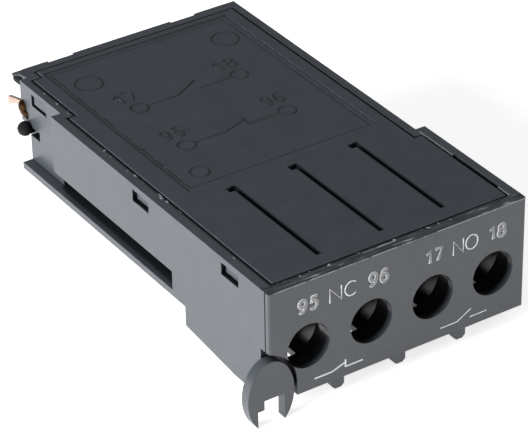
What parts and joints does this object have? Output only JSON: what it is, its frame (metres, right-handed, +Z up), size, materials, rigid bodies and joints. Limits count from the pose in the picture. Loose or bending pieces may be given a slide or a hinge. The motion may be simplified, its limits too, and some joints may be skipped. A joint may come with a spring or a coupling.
{
  "type": "auxiliary contact block",
  "caption": "Low moulded switch block with a row of screw terminals in its front face, a flat slotted cover, a corner locking lever and plungers at the rear corner.",
  "frame": {"origin": "middle of the lower edge of the front face, on the plane of the front block's underside", "axes": "+X to the right across the front face, +Y from the front face to the rear, +Z up to the cover"},
  "size_m": [0.0487, 0.08, 0.022],
  "materials": {
    "housing_plastic": "moulded, satin",
    "cover_plastic": "moulded, satin",
    "lever_plastic": "moulded, satin",
    "slider_plastic": "moulded, satin",
    "zinc_steel": "zinc plated",
    "strip_brass": "stamped",
    "blade_copper": "stamped",
    "silver": "bright",
    "spring_steel": "drawn wire"
  },
  "bodies": {
    "root": {"base_housing": "housing_plastic", "top_cover": "cover_plastic", "rear_blade": "blade_copper", "terminal_strip_1": "strip_brass", "terminal_strip_2": "strip_brass", "terminal_strip_3": "strip_brass", "terminal_strip_4": "strip_brass", "nc_fixed_tips": "silver", "no_fixed_tips": "silver", "nc_return_spring": "spring_steel", "no_return_spring": "spring_steel"},
    "lever": {"locking_lever": "lever_plastic"},
    "fault": {"fault_slider": "slider_plastic", "nc_contact_spring": "spring_steel"},
    "nc_contact": {"nc_bridge": "strip_brass", "nc_moving_tips": "silver"},
    "position": {"position_slider": "slider_plastic", "no_contact_spring": "spring_steel"},
    "no_contact": {"no_bridge": "strip_brass", "no_moving_tips": "silver"},
    "clamp_1": {"clamp_plate_1": "zinc_steel"},
    "screw_1": {"terminal_screw_1": "zinc_steel"},
    "clamp_2": {"clamp_plate_2": "zinc_steel"},
    "screw_2": {"terminal_screw_2": "zinc_steel"},
    "clamp_3": {"clamp_plate_3": "zinc_steel"},
    "screw_3": {"terminal_screw_3": "zinc_steel"},
    "clamp_4": {"clamp_plate_4": "zinc_steel"},
    "screw_4": {"terminal_screw_4": "zinc_steel"}
  },
  "joints": [
    {"name": "lever_turn", "type": "hinge", "parent": "root", "child": "lever", "pos_m": [-0.0209, 0, 0.0035], "axis": [0, 1, 0], "range_deg": [0, 12]},
    {"name": "fault_slide", "type": "slide", "parent": "root", "child": "fault", "axis": [0, -1, 0], "range_m": [0, 0.0025], "stiffness_N_per_m": 300, "springref_m": -0.002, "deforming": ["nc_return_spring"]},
    {"name": "nc_float", "type": "slide", "parent": "fault", "child": "nc_contact", "axis": [0, -1, 0], "range_m": [0, 0.0008], "stiffness_N_per_m": 400, "springref_m": -0.001, "deforming": ["nc_contact_spring"]},
    {"name": "position_slide", "type": "slide", "parent": "root", "child": "position", "axis": [0, -1, 0], "range_m": [0, 0.0025], "stiffness_N_per_m": 300, "springref_m": -0.002, "deforming": ["no_return_spring"]},
    {"name": "no_float", "type": "slide", "parent": "position", "child": "no_contact", "axis": [0, 1, 0], "range_m": [0, 0.0008], "stiffness_N_per_m": 400, "springref_m": -0.001, "deforming": ["no_contact_spring"]},
    {"name": "clamp_1_slide", "type": "slide", "parent": "root", "child": "clamp_1", "axis": [0, 1, 0], "range_m": [0, 0.0023]},
    {"name": "screw_1_turn", "type": "hinge", "parent": "clamp_1", "child": "screw_1", "pos_m": [-0.01582, 0, 0.0077], "axis": [0, 1, 0], "range_deg": [0, 1656]},
    {"name": "clamp_2_slide", "type": "slide", "parent": "root", "child": "clamp_2", "axis": [0, 1, 0], "range_m": [0, 0.0023]},
    {"name": "screw_2_turn", "type": "hinge", "parent": "clamp_2", "child": "screw_2", "pos_m": [-0.00498, 0, 0.0077], "axis": [0, 1, 0], "range_deg": [0, 1656]},
    {"name": "clamp_3_slide", "type": "slide", "parent": "root", "child": "clamp_3", "axis": [0, 1, 0], "range_m": [0, 0.0023]},
    {"name": "screw_3_turn", "type": "hinge", "parent": "clamp_3", "child": "screw_3", "pos_m": [0.00588, 0, 0.0077], "axis": [0, 1, 0], "range_deg": [0, 1656]},
    {"name": "clamp_4_slide", "type": "slide", "parent": "root", "child": "clamp_4", "axis": [0, 1, 0], "range_m": [0, 0.0023]},
    {"name": "screw_4_turn", "type": "hinge", "parent": "clamp_4", "child": "screw_4", "pos_m": [0.01673, 0, 0.0077], "axis": [0, 1, 0], "range_deg": [0, 1656]}
  ],
  "couplings": [
    {"joint": "screw_1_turn", "follows": "clamp_1_slide", "rad_per_m": 12566},
    {"joint": "screw_2_turn", "follows": "clamp_2_slide", "rad_per_m": 12566},
    {"joint": "screw_3_turn", "follows": "clamp_3_slide", "rad_per_m": 12566},
    {"joint": "screw_4_turn", "follows": "clamp_4_slide", "rad_per_m": 12566}
  ]
}
